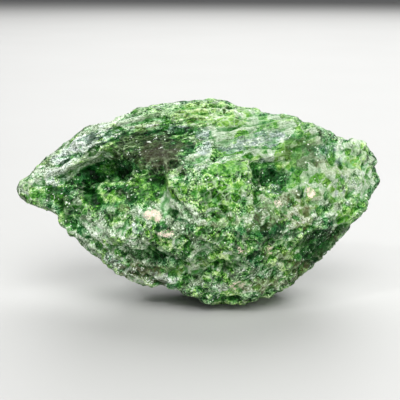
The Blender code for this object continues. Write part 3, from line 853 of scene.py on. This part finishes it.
for kind, (size, offset, low, high, strength) in BACKGROUND.items():
    cloud = strength * smooth_step(low, high, slow_noise(place, size, offset))
    cloud *= 1.0 - WEAKER_ON_SHOWN * shown
    marks[kind] = 1.0 - (1.0 - marks[kind]) * (1.0 - cloud)
back_layers = BACK_LAYERS * smooth_step(0.0, BACK_LAYERS_FADE, v) * (1.0 - shown)
marks["layers"] = np.maximum(marks["layers"], back_layers)
marks["deep"] *= 1.0 - GLOW_WINS * marks["glow"]
for kind, values in marks.items():
    print(f"{kind}: {values.mean():.2f} on average")

# %% [markdown]
# ## Chips
#
# A fresh break in coarse rock is a crowd of small flat facets, each tilted its own way. Voronoi cells are a
# good model of that: every vertex belongs to its nearest cell centre, and every cell is given a tilt and a
# step of its own. In the layered parts the cells are stretched along the layers, which turns the same chips
# into thin shelves and striations. Some crystals have dropped out of the rock and left angular sockets, so
# about one cell in eight is sunk. Glassy and calm faces keep less of all this, because they broke clean.

# %% Chips
CHIP_EDGE = 0.22
SCATTER = np.array([12.9898, 78.233, 37.719])
SCATTER_MORE = 43758.5453


def pick(centres, seed):
    """A number from 0 to 1 for each cell centre, scattered as if by chance but the same in every run."""
    mixed = np.sin(centres @ SCATTER + seed) * SCATTER_MORE
    return mixed - np.floor(mixed)


def nearest_cells(rows):
    """The centres of the two nearest cells, and how far each place lies from the edge between them."""
    found = [noise.voronoi(Vector(row)) for row in rows]
    near, next_near = np.array([distances[:2] for distances, _ in found]).T
    centres = [np.array([places[rank] for _, places in found]) for rank in range(2)]
    return centres, smooth_step(0.0, CHIP_EDGE, next_near - near)


def chips(rows, cell, slope, step, seed):
    """The height of tilted facets in millimetres, for cells of this size along each axis."""
    rows = rows / np.array(cell)
    centres, inside = nearest_cells(rows)
    heights = []
    for centre in centres:
        lean_to = np.stack([pick(centre, seed + turn) for turn in range(3)], axis=1) * 2.0 - 1.0
        tilt = ((rows - centre) * lean_to).sum(axis=1) * slope * np.min(cell)
        heights.append(tilt + step * (pick(centre, seed + 3) * 2.0 - 1.0))
    share = 0.5 + 0.5 * inside
    return heights[0] * share + heights[1] * (1.0 - share)


def fallen_out(rows, cell, depth, share, seed):
    """Angular sockets in millimetres, where a share of the crystals have dropped out."""
    centres, inside = nearest_cells(rows / cell)
    return -depth * (pick(centres[0], seed) < share) * inside


# %% Relief
# Cell size in millimetres, slope, step in millimetres and seed of each layer of chips
GRAIN_CHIPS = (
    (3.2, 0.26, 0.08, 1.0),
    (1.3, 0.16, 0.03, 7.0),
)
SHELF_CHIPS = (
    ((8.0, 1.5, 3.0), 0.3, 0.16, 11.0),
    ((3.2, 0.9, 1.6), 0.25, 0.06, 17.0),
)
# Cell size and depth in millimetres, share and seed
SOCKETS = (2.6, 0.3, 0.12, 5.0)
PIT_DEPTH = 0.3
GLASS_SMOOTHS = 0.75
CALM_SMOOTHS = 0.55

layered_place = on_axes(place, layer_axes)
grain = sum(chips(place, *layer) for layer in GRAIN_CHIPS) + fallen_out(place, *SOCKETS)
shelves = sum(chips(layered_place, *layer) for layer in SHELF_CHIPS)
relief = grain + (shelves - grain) * marks["layers"]
relief -= PIT_DEPTH * marks["deep"]
relief *= 1.0 - np.maximum(GLASS_SMOOTHS * marks["glass"], CALM_SMOOTHS * marks["calm"])
print("Relief, mm:", round(float(relief.min()), 2), "to", round(float(relief.max()), 2))

# %% [markdown]
# The relief is pushed out along the skin's own directions, averaged over a wide neighbourhood so that
# neighbours don't cross. It fades to nothing at the flat spot that the stone stands on.

# %% Push the relief out
OUTWARD_ROUNDS = 14
SOLE_MARGIN = 1.2
CLEARLY_MOVED = 0.2

outward = relax(read(mesh.vertices, "normal", 3), OUTWARD_ROUNDS)
outward /= np.linalg.norm(outward, axis=1)[:, None]
relief *= smooth_step(0.0, SOLE_MARGIN, place[:, 2])
skin = place + outward * relief[:, None]
skin[:, 2] = np.maximum(skin[:, 2], 0.0)
mesh.vertices.foreach_set("co", (skin / MM).ravel())
mesh.update()
moved = np.abs(relief) > CLEARLY_MOVED
print(f"Vertices moved by more than {CLEARLY_MOVED} mm:", int(moved.sum()))

# %% [markdown]
# ## Hollows and edges
#
# The pits and hollows get painted shade, and the edges between grains are painted paler, partly as bruised
# grain and partly as a painted highlight. Both follow from one measure: how far a vertex lies below the
# average of its neighbourhood. It is taken over a short and a longer reach, and stored next to the markings
# as two more numbers per vertex. Glassy faces are shaded smooth, and the others stay faceted.

# %% Store the numbers
FINE_ROUNDS = 3
WIDE_ROUNDS = 30
FINE_DEPTH = 0.12
WIDE_DEPTH = 0.5
SLEEK_FROM = 0.5


def sunk(rounds, depth):
    """How far each vertex lies below its neighbourhood, where 1 is this depth in millimetres."""
    return ((relax(skin, rounds) - skin) * outward).sum(axis=1) / depth


marks["pit"] = sunk(FINE_ROUNDS, FINE_DEPTH)
marks["hollow"] = sunk(WIDE_ROUNDS, WIDE_DEPTH)
for kind, values in marks.items():
    stored = mesh.attributes.new(kind, "FLOAT", "POINT")
    stored.data.foreach_set("value", np.clip(values, -1.0, 1.0).astype(np.float32))

corners = read(mesh.polygons, "vertices", 4)
sleek = marks["glass"][corners].mean(axis=1) > SLEEK_FROM
mesh.polygons.foreach_set("use_smooth", sleek)
print("Faces shaded smooth:", int(sleek.sum()), "of", len(sleek))

# %% [markdown]
# ## The rock's material: grains
#
# The crystals are drawn by Voronoi cells of four kinds. Coarse cells of 2 mm are whole crystals, warped a
# little so that no edge is straight. Inside each of them lie fine needles, turned a way of their own, as a
# crystal's cleavage is. Streaks replace the needles where the rock is layered, and the smallest cells are
# sugary crumbs. A cell's random colour is read as three dice, which help to choose its mineral, its tone
# and its shade of green. The same colour later tilts its face.

# %% Grains
CRYSTAL = 2.0
NEEDLES_PER_MM = (1.0, 3.0, 2.5)
STREAK = (2.6, 0.42, 1.0)
CRUMB = 0.3
WANDER = {"Scale": 0.9, "Detail": 2.0}
WANDER_REACH = (0.9, 0.9, 0.9)
MIDDLE_GREY = (0.5, 0.5, 0.5)
COARSE_SHARE = 0.4
COARSE_SHARE_GLOW = 0.5

rock_material, net, surface = new_material("chrome_diopside_rock")
mark = {kind: put(net, "Attribute", attribute_name=kind).outputs["Fac"] for kind in marks}


def vector(operation, first, second):
    """One step of arithmetic on three numbers at once."""
    return put(net, "VectorMath", {0: first, 1: second}, operation=operation).outputs[0]


where = put(net, "TexCoord").outputs["Object"]
in_mm = vector("MULTIPLY", where, (MM, MM, MM))
wander = put(net, "TexNoise", {"Vector": in_mm, **WANDER}).outputs["Color"]
shift = vector("MULTIPLY", vector("SUBTRACT", wander, MIDDLE_GREY), WANDER_REACH)
bent = vector("ADD", shift, in_mm)
laid = {"Vector": bent, "Rotation": layer_axes.to_euler(), "Scale": STREAK}
along = put(net, "Mapping", laid, vector_type="TEXTURE").outputs[0]

coarse = put(net, "TexVoronoi", {"Vector": bent, "Scale": 1.0 / CRYSTAL}).outputs["Color"]
own_way = vector("MULTIPLY", coarse, (2.0 * math.pi,) * 3)
turned = put(net, "VectorRotate", {"Vector": in_mm, "Rotation": own_way}, rotation_type="EULER_XYZ")
needles = vector("MULTIPLY", turned.outputs[0], NEEDLES_PER_MM)
fine = put(net, "TexVoronoi", {"Vector": needles, "Scale": 1.0})
streak = put(net, "TexVoronoi", {"Vector": along, "Scale": 1.0}).outputs["Color"]
crumb = put(net, "TexVoronoi", {"Vector": in_mm, "Scale": 1.0 / CRUMB}).outputs["Color"]
near_cell = blend(net, mark["layers"], fine.outputs["Color"], streak)
print("Voronoi cells in the net:", sum(node.type == "TEX_VORONOI" for node in net.nodes))

# %% [markdown]
# A marking is a share and not a border: a place that is 60% pale gets pale grains six times in ten, because
# each grain throws its die against the share. That keeps every patch as mixed as the real rock is.


# %% Dice and shares
def dice(colour):
    """A cell's random colour, read as three numbers from 0 to 1."""
    return put(net, "SeparateColor", {0: colour}).outputs


def chosen(share, die, soft):
    """1 on the grains whose die falls below a share, 0 on the others."""
    return spread(net, calc(net, "SUBTRACT", share, die), 0.0, soft)


def some(kind, share):
    """A marking, times a share."""
    return calc(net, "MULTIPLY", mark[kind], share)


def layered_noise(size, detail, distortion=0.0):
    """Noise with lumps of this size in millimetres, drawn out where the rock is layered."""
    sockets = {"Detail": detail, "Roughness": 0.6, "Distortion": distortion}
    plain = put(net, "TexNoise", {"Vector": in_mm, "Scale": 1.0 / size, **sockets}).outputs["Fac"]
    drawn = put(net, "TexNoise", {"Vector": along, "Scale": 2.0 / size, **sockets}).outputs["Fac"]
    return move_to(net, plain, mark["layers"], drawn)


large_share = calc(net, "ADD", COARSE_SHARE, some("glow", COARSE_SHARE_GLOW))
mixed_dice = dice(blend(net, large_share, near_cell, coarse))
coarse_dice = dice(coarse)
fine_dice = dice(near_cell)
crumb_dice = dice(crumb)
print("Nodes so far:", len(net.nodes))

# %% [markdown]
# ## Tone
#
# Tone runs from 0, a clear crystal that looks almost black, to 1, one that is frosted white. A slow noise
# lays it out, and the markings pull it towards a tone of their own. Deep places keep a few brighter emerald
# grains, a painted light like that of clear crystals where light gets in. Then every grain and crumb goes its
# own way a little. Clean crystals have fewer crumbs, but clouds inside them, and dark or calm places vary
# least.

# %% Tone of each grain
TONE_LUMP = 4.5
TONE_DETAIL = 5.0
TONE_NOISE = (0.33, 0.68)
# Marking, how much of it counts, and the tone that it pulls to
TONE_PULLS = (
    ("calm", 0.6, 0.5),
    ("pale", 0.5, 0.65),
    # Glow is partly painted light, the silver pull is a painted sheen, and deep is partly painted shade
    ("glow", 0.8, 0.72),
    ("painted_silver_sheen", 1.0, 0.85),
    ("brown", 0.8, 0.14),
    ("deep", 0.9, 0.04),
)
EMERALD_DIE = (0.78, 0.86)
EMERALD_LIFT = 0.32

# Painted sheen: the grey film on bare layers is pulled to a silver tone
bare_layers = calc(net, "SUBTRACT", mark["layers"], mark["calm"])
mark["painted_silver_sheen"] = calc(net, "MULTIPLY", mark["grey"], bare_layers, clamp=True)
tone = spread(net, layered_noise(TONE_LUMP, TONE_DETAIL), *TONE_NOISE)
for kind, share, target in TONE_PULLS:
    tone = move_to(net, tone, some(kind, share), target)
# Painted light: a few emerald grains brighten the deep places
emerald = spread(net, coarse_dice[1], *EMERALD_DIE, 0.0, EMERALD_LIFT)
tone = calc(net, "ADD", tone, calc(net, "MULTIPLY", emerald, mark["deep"]))
print("Nodes so far:", len(net.nodes))

# %% Each grain its own way
GRAIN_JITTER = 0.35
CRUMB_JITTER = 0.5
CLOUD_JITTER = 0.25
CLOUD = {"Scale": 1.0 / 2.0, "Detail": 2.0, "Roughness": 0.5}
MIDDLE_NOISE = (0.35, 0.65)
FEWER_CRUMBS = 0.7
CALM_GLASS = 0.6
CALMER = 0.65
DEEP_CALMER = 0.4

clean = highest(net, mark["leaf"], mark["glow"], mark["glass"])
jitter = spread(net, mixed_dice[1], 0.0, 1.0, -GRAIN_JITTER, GRAIN_JITTER)
crumbs = spread(net, crumb_dice[1], 0.0, 1.0, -CRUMB_JITTER, CRUMB_JITTER)
jitter = calc(net, "ADD", jitter, lessen(net, crumbs, clean, FEWER_CRUMBS))
cloudy = put(net, "TexNoise", {"Vector": in_mm, **CLOUD}).outputs["Fac"]
cloudy = spread(net, cloudy, *MIDDLE_NOISE, -CLOUD_JITTER, CLOUD_JITTER)
jitter = calc(net, "ADD", jitter, calc(net, "MULTIPLY", cloudy, clean))
calm = highest(net, some("glass", CALM_GLASS), mark["deep"], mark["calm"])
lively = lessen(net, lessen(net, 1.0, calm, CALMER), mark["deep"], DEEP_CALMER)
tone = calc(net, "ADD", tone, calc(net, "MULTIPLY", jitter, lively))
print("Nodes so far:", len(net.nodes))

# %% [markdown]
# Wisps of paler crystal and dark gaps wander over the rock. Each is a line where a slow noise passes through
# its middle value, as a contour line runs on a map. Layered parts are hatched as well.


# %% Wisps, gaps and hatching
def wandering_line(size, detail, distortion, width, strength):
    """The strength on the line where a slow noise passes its middle value, and 0 beside it."""
    off_middle = calc(net, "SUBTRACT", layered_noise(size, detail, distortion), 0.5)
    return spread(net, calc(net, "ABSOLUTE", off_middle), 0.0, width, strength, 0.0)


HATCHING = {"Scale": 2.0, "Detail": 3.0, "Roughness": 0.7}
HATCH_STRENGTH = 0.6

wisp = wandering_line(size=3.2, detail=4.0, distortion=0.9, width=0.04, strength=0.35)
gap = wandering_line(size=5.5, detail=6.0, distortion=1.5, width=0.035, strength=0.6)
lines = calc(net, "MULTIPLY", calc(net, "SUBTRACT", wisp, gap), lively)
hatch = put(net, "TexNoise", {"Vector": along, **HATCHING}).outputs["Fac"]
hatch = spread(net, hatch, *MIDDLE_NOISE, -HATCH_STRENGTH, HATCH_STRENGTH)
hatch = calc(net, "MULTIPLY", hatch, mark["layers"])
lines = calc(net, "ADD", lines, calc(net, "MULTIPLY", hatch, lively))
tone = calc(net, "ADD", tone, lines, clamp=True)
print("Nodes so far:", len(net.nodes))

# %% [markdown]
# ## Colour
#
# Each mineral has a row of colours that follows its tone. The green itself leans to blue in some patches
# and to leaf green in others, as chromium and iron vary through the crystal.

# %% Colours of the minerals
BLUE_GREEN = (
    (0.0, (0.0005, 0.009, 0.003)),
    (0.3, (0.008, 0.08, 0.022)),
    (0.55, (0.045, 0.2, 0.065)),
    (0.8, (0.2, 0.41, 0.2)),
    (1.0, (0.53, 0.7, 0.51)),
)
LEAF_GREEN = (
    (0.0, (0.001, 0.012, 0.0005)),
    (0.3, (0.02, 0.1, 0.005)),
    (0.55, (0.09, 0.28, 0.024)),
    (0.8, (0.28, 0.52, 0.095)),
    (1.0, (0.6, 0.76, 0.35)),
)
PALE = (
    (0.0, (0.018, 0.032, 0.014)),
    (0.25, (0.125, 0.19, 0.1)),
    (0.5, (0.32, 0.42, 0.285)),
    (0.75, (0.56, 0.66, 0.51)),
    (1.0, (0.9, 0.94, 0.87)),
)
FILM = (
    (0.0, (0.015, 0.028, 0.022)),
    (0.3, (0.08, 0.115, 0.1)),
    (0.55, (0.2, 0.262, 0.25)),
    (0.8, (0.52, 0.595, 0.575)),
    (1.0, (0.86, 0.92, 0.9)),
)
BROWN = (
    (0.0, (0.002, 0.006, 0.001)),
    (0.3, (0.035, 0.075, 0.018)),
    (0.6, (0.09, 0.16, 0.05)),
    (1.0, (0.34, 0.42, 0.27)),
)
print("Darkest and palest film:", FILM[0][1], FILM[-1][1])

# %% Shades of green
LEAFY_PATCHES = {"Scale": 1.0 / 6.0, "Detail": 2.0, "Lacunarity": 2.3}
LEAFY_NOISE = (0.4, 0.6)
LEAFY_JITTER = 0.08
# Marking, how much of it counts, and how leafy it makes the green
LEAFY_PULLS = (
    ("glow", 0.7, 0.95),
    ("tint", 0.8, 1.0),
    ("deep", 0.5, 0.0),
    ("leaf", 1.0, 1.0),
)
PALE_TONE_KEPT = 0.8
PALE_TONE_LIFT = (0.02, 0.14)

leafy = put(net, "TexNoise", {"Vector": in_mm, **LEAFY_PATCHES}).outputs["Fac"]
leafy_die = spread(net, mixed_dice[2], 0.0, 1.0, -LEAFY_JITTER, LEAFY_JITTER)
leafy = calc(net, "ADD", spread(net, leafy, *LEAFY_NOISE), leafy_die)
for kind, share, target in LEAFY_PULLS:
    leafy = move_to(net, leafy, some(kind, share), target)
leafy = spread(net, leafy, 0.0, 1.0)
green = blend(net, leafy, ramp(net, tone, BLUE_GREEN), ramp(net, tone, LEAF_GREEN))
sugar = spread(net, mark["pale"], 0.0, 1.0, *PALE_TONE_LIFT)
sugar = calc(net, "ADD", calc(net, "MULTIPLY", tone, PALE_TONE_KEPT), sugar)
pale, brown, film = ramp(net, sugar, PALE), ramp(net, tone, BROWN), ramp(net, tone, FILM)
print("Nodes so far:", len(net.nodes))

# %% [markdown]
# Now the dice fall. Green comes first, and pale, brown, sooty, film, rusty and pinkish grains go over it in
# that order. Clear and leaf green crystals take fewer pale grains.

# %% The mineral of each grain
SOFT_DIE = 0.3
SOFTER_DIE = 0.4
PALE_SHARE = (0.2, 1.1)
CLEAR_GLASS = 0.9
CLEAR_STAYS = 0.8
LEAF_STAYS = 0.75
COARSE_MIXTURE = 0.85
SOOT_AND_SHADE = (0.035, 0.026, 0.017, 1.0)
SOOT_AND_SHADE_SHARE = 0.75
FILM_SHARE = 0.85
RUST = (0.3, 0.22, 0.1, 1.0)
RUST_SHARE = 0.5
PINKISH = (0.82, 0.66, 0.55, 1.0)

clear = highest(net, mark["deep"], some("glass", CLEAR_GLASS))
pale_share = spread(net, mark["pale"], 0.0, 1.0, *PALE_SHARE)
pale_share = lessen(net, pale_share, clear, CLEAR_STAYS)
pale_share = lessen(net, pale_share, mark["leaf"], LEAF_STAYS)
mixture_dice = dice(blend(net, COARSE_MIXTURE, near_cell, coarse))
film_grains = chosen(mark["grey"], mixed_dice[2], SOFTER_DIE)
colour = green
for share, above in (
    (chosen(pale_share, mixture_dice[0], SOFT_DIE), pale),
    (chosen(mark["brown"], fine_dice[0], SOFT_DIE), brown),
    (some("sooty_and_shade", SOOT_AND_SHADE_SHARE), SOOT_AND_SHADE),
    (calc(net, "MULTIPLY", film_grains, FILM_SHARE), film),
    (some("tint", RUST_SHARE), RUST),
    (chosen(mark["pink"], crumb_dice[1], SOFT_DIE), PINKISH),
):
    colour = blend(net, share, colour, above)
print("Nodes so far:", len(net.nodes))

# %% [markdown]
# Pale seams run between the larger crystals, most of all where they are lit. White specks are crumbs whose
# die is high, partly pale crumbs and partly painted glints. They gather in clusters, and the film has more
# of them than glass and lit crystals have.

# %% Seams, specks and painted glints
SEAM_WIDTH = 0.11
SEAM_SHARE = 0.15
SEAM_SHARE_GLOW = 0.5
SEAM_GREEN = (0.5, 0.66, 0.42, 1.0)
CLUSTERS = {"Scale": 1.0 / 2.2, "Detail": 3.0}
CLUSTER_NOISE = (0.4, 0.65)
CLUSTER_SHIFT = (-0.15, 0.03)
SPECK_AND_GLINT_SHIFTS = {"grey": 0.06, "deep": 0.02, "calm": -0.04, "glass": -0.02, "glow": -0.04}
SPECK_AND_GLINT_DIE = (0.9, 0.95)
SPECK_AND_GLINT_SHARE = 0.8
SPECK_AND_GLINT_WHITE = (0.85, 0.92, 0.8, 1.0)

seam_cells = {"Vector": bent, "Scale": 1.0 / CRYSTAL}
seam = put(net, "TexVoronoi", seam_cells, feature="DISTANCE_TO_EDGE").outputs["Distance"]
seam_share = calc(net, "ADD", SEAM_SHARE, some("glow", SEAM_SHARE_GLOW), clamp=True)
seam_share = lessen(net, seam_share, clear, 1.0)
seam_share = calc(net, "MULTIPLY", spread(net, seam, 0.0, SEAM_WIDTH, 1.0, 0.0), seam_share)
colour = blend(net, seam_share, colour, SEAM_GREEN)

# Painted glints: white specks on crumbs whose die is high, gathered in clusters
cluster = put(net, "TexNoise", {"Vector": in_mm, **CLUSTERS}).outputs["Fac"]
speck_and_glint = calc(net, "ADD", crumb_dice[0], spread(net, cluster, *CLUSTER_NOISE, *CLUSTER_SHIFT))
for kind, lift in SPECK_AND_GLINT_SHIFTS.items():
    speck_and_glint = calc(net, "ADD", speck_and_glint, some(kind, lift))
colour = blend(net, spread(net, speck_and_glint, *SPECK_AND_GLINT_DIE, 0.0, SPECK_AND_GLINT_SHARE), colour, SPECK_AND_GLINT_WHITE)
print("Nodes so far:", len(net.nodes))

# %% [markdown]
# Edges are painted paler, partly bruised grain and partly a painted highlight. Pits, hollows and the deepest
# places get painted shade, and red and blue fade there faster than green, so that the painted shade is a
# green one. Pale and lit places get less painted shade.

# %% Painted highlight on edges, painted shade in pits and hollows
# A pit of -1 is a sharp edge, and one of 1 is as deep as a pit is measured
EDGE_PIT = (-0.3, -1.0)
DARK_PIT = (0.05, 0.9)
DARK_HOLLOW = (0.1, 1.0)
EDGE_BRUISE_AND_HIGHLIGHT = (0.55, 0.7, 0.42, 1.0)
EDGE_BRUISE_AND_HIGHLIGHT_SHARE = 0.2
PIT_SHADE = 0.55
HOLLOW_SHADE = 0.45
SPARED_FROM_SHADE_SHARE = 0.8
DEEPEST = 0.86
DEEPEST_SHADE = 0.5
FADES_FASTER = 2.0

# Painted highlight: sharp edges are painted paler, partly as bruised grain
edge_bruise_and_highlight = spread(net, mark["pit"], *EDGE_PIT, 0.0, EDGE_BRUISE_AND_HIGHLIGHT_SHARE)
colour = blend(net, edge_bruise_and_highlight, colour, EDGE_BRUISE_AND_HIGHLIGHT)
# Painted shade: pits, hollows and the deepest places are darkened, less on pale and lit grains
spared_from_shade = calc(net, "MULTIPLY", highest(net, mark["pale"], mark["glow"]), SPARED_FROM_SHADE_SHARE)
in_hollow = spread(net, mark["hollow"], *DARK_HOLLOW, 1.0, HOLLOW_SHADE)
shade = spread(net, mark["pit"], *DARK_PIT, 1.0, PIT_SHADE)
shade = calc(net, "MULTIPLY", shade, move_to(net, in_hollow, spared_from_shade, 1.0))
shade = calc(net, "MULTIPLY", shade, spread(net, mark["deep"], DEEPEST, 1.0, 1.0, DEEPEST_SHADE))
red_blue_painted_shade = calc(net, "POWER", shade, FADES_FASTER)
green_painted_shade = put(net, "CombineColor", {0: red_blue_painted_shade, 1: shade, 2: red_blue_painted_shade}).outputs[0]
colour = blend(net, 1.0, colour, green_painted_shade, "MULTIPLY")
net.links.new(colour, surface.inputs["Base Color"])
print("Nodes so far:", len(net.nodes))

# %% [markdown]
# ## Gloss
#
# Cleavage faces are glassy, sugary grain is dull, and a few crumbs are bright enough to glint. Each grain's
# face is tilted its own way, which makes single grains flash as the light passes. The tilt is weaker on
# glassy and calm faces. A bump of grit keeps the faces from looking polished.

# %% Roughness and glints
GRAIN_ROUGHNESS = (0.3, 0.6)
PALE_ROUGHER = 0.2
CLEAR_SMOOTHER = 0.2
GLOSSIEST = 0.12
GLINT_DIE = (0.9, 0.92)
DIOPSIDE_IOR = 1.67
SHINE = 0.09
SHINE_TINT = (0.7, 1.0, 0.7, 1.0)

rough = spread(net, fine_dice[2], 0.0, 1.0, *GRAIN_ROUGHNESS)
rough = calc(net, "ADD", rough, some("pale", PALE_ROUGHER))
glassy = highest(net, mark["glass"], mark["deep"])
rough = calc(net, "SUBTRACT", rough, calc(net, "MULTIPLY", glassy, CLEAR_SMOOTHER))
rough = highest(net, rough, GLOSSIEST)
rough = move_to(net, rough, spread(net, crumb_dice[0], *GLINT_DIE), GLOSSIEST)
net.links.new(rough, surface.inputs["Roughness"])
surface.inputs["IOR"].default_value = DIOPSIDE_IOR
surface.inputs["Specular IOR Level"].default_value = SHINE
surface.inputs["Specular Tint"].default_value = SHINE_TINT
print("Nodes so far:", len(net.nodes))

# %% Grit and tilted grains
GRIT = {"Scale": 1.0 / 0.6, "Detail": 2.0}
GRIT_HEIGHT = 0.00015
NEEDLE_HEIGHT = 0.5
LESS_TILT = 0.6

grit = put(net, "TexNoise", {"Vector": in_mm, **GRIT}).outputs["Fac"]
grit = calc(net, "ADD", calc(net, "MULTIPLY", fine.outputs["Distance"], NEEDLE_HEIGHT), grit)
facing = put(net, "Bump", {"Height": grit, "Distance": GRIT_HEIGHT, "Strength": 1.0}).outputs[0]
amount = lessen(net, 1.0, highest(net, mark["glass"], mark["calm"]), LESS_TILT)
tilt = vector("MULTIPLY", vector("SUBTRACT", near_cell, MIDDLE_GREY), amount)
tilted = put(net, "VectorMath", {0: vector("ADD", facing, tilt)}, operation="NORMALIZE").outputs[0]
net.links.new(tilted, surface.inputs["Normal"])
mesh.materials.append(rock_material)
print("Nodes in the rock's net:", len(net.nodes))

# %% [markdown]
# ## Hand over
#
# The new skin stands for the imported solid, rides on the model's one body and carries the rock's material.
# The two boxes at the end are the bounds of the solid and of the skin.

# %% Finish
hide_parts("chrome_diopside")
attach(stone, "root")

boxes = {"cad": cad_box, "visual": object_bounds()}
boxes = {name: [[float(side) for side in corner] for corner in box] for name, box in boxes.items()}
print("Triangles:", sum(len(face.vertices) - 2 for face in mesh.polygons))
